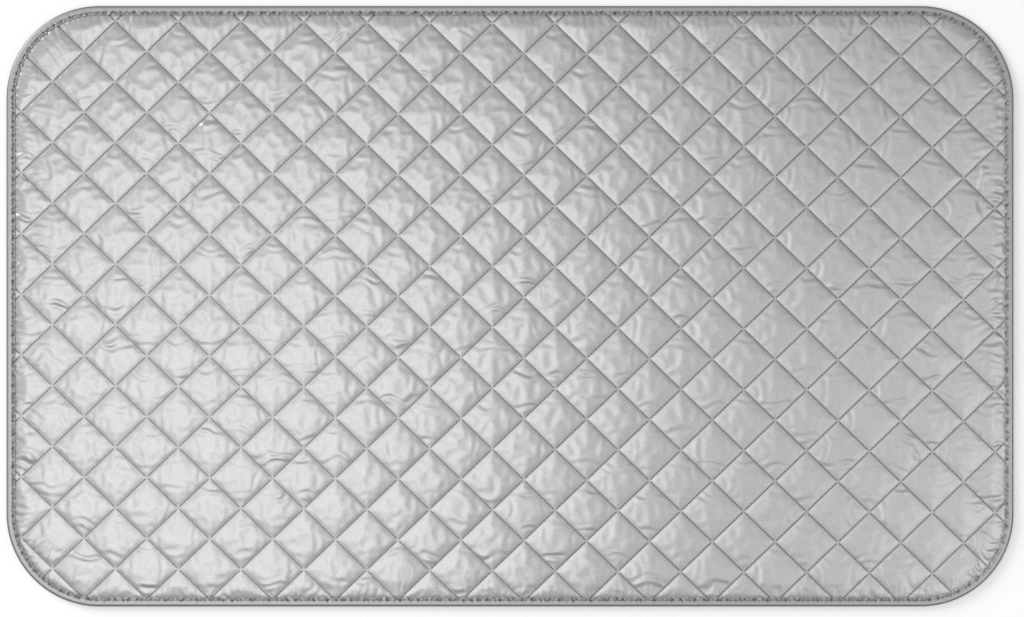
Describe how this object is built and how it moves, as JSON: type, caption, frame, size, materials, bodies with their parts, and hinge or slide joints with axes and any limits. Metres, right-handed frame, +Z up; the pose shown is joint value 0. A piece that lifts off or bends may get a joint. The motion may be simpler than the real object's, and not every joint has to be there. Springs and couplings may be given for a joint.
{
  "type": "quilted ironing pad",
  "caption": "Rectangular silver quilted ironing pad with rounded corners, diagonal diamond quilting over felt wadding and a stitched grey edge binding.",
  "frame": {"origin": "middle of the underside, on the surface that the pad lies on", "axes": "+X along the length, +Y along the width, +Z up out of the ironing face"},
  "size_m": [0.8, 0.477, 0.0058],
  "materials": {
    "silver_cloth": "satin",
    "backing_cloth": "matte",
    "felt_wadding": "matte",
    "binding_tape": "satin",
    "sewing_thread": "satin"
  },
  "bodies": {
    "root": {"top_cover": "silver_cloth", "wadding": "felt_wadding", "back_cover": "backing_cloth", "edge_binding": "binding_tape", "binding_seam": "sewing_thread", "quilt_seam_rising_01": "sewing_thread", "quilt_seam_rising_02": "sewing_thread", "quilt_seam_rising_03": "sewing_thread", "quilt_seam_rising_04": "sewing_thread", "quilt_seam_rising_05": "sewing_thread", "quilt_seam_rising_06": "sewing_thread", "quilt_seam_rising_07": "sewing_thread", "quilt_seam_rising_08": "sewing_thread", "quilt_seam_rising_09": "sewing_thread", "quilt_seam_rising_10": "sewing_thread", "quilt_seam_rising_11": "sewing_thread", "quilt_seam_rising_12": "sewing_thread", "quilt_seam_rising_13": "sewing_thread", "quilt_seam_rising_14": "sewing_thread", "quilt_seam_rising_15": "sewing_thread", "quilt_seam_rising_16": "sewing_thread", "quilt_seam_rising_17": "sewing_thread", "quilt_seam_rising_18": "sewing_thread", "quilt_seam_rising_19": "sewing_thread", "quilt_seam_rising_20": "sewing_thread", "quilt_seam_rising_21": "sewing_thread", "quilt_seam_rising_22": "sewing_thread", "quilt_seam_rising_23": "sewing_thread", "quilt_seam_falling_01": "sewing_thread", "quilt_seam_falling_02": "sewing_thread", "quilt_seam_falling_03": "sewing_thread", "quilt_seam_falling_04": "sewing_thread", "quilt_seam_falling_05": "sewing_thread", "quilt_seam_falling_06": "sewing_thread", "quilt_seam_falling_07": "sewing_thread", "quilt_seam_falling_08": "sewing_thread", "quilt_seam_falling_09": "sewing_thread", "quilt_seam_falling_10": "sewing_thread", "quilt_seam_falling_11": "sewing_thread", "quilt_seam_falling_12": "sewing_thread", "quilt_seam_falling_13": "sewing_thread", "quilt_seam_falling_14": "sewing_thread", "quilt_seam_falling_15": "sewing_thread", "quilt_seam_falling_16": "sewing_thread", "quilt_seam_falling_17": "sewing_thread", "quilt_seam_falling_18": "sewing_thread", "quilt_seam_falling_19": "sewing_thread", "quilt_seam_falling_20": "sewing_thread", "quilt_seam_falling_21": "sewing_thread", "quilt_seam_falling_22": "sewing_thread", "quilt_seam_falling_23": "sewing_thread", "quilt_seam_falling_24": "sewing_thread"}
  },
  "joints": []
}
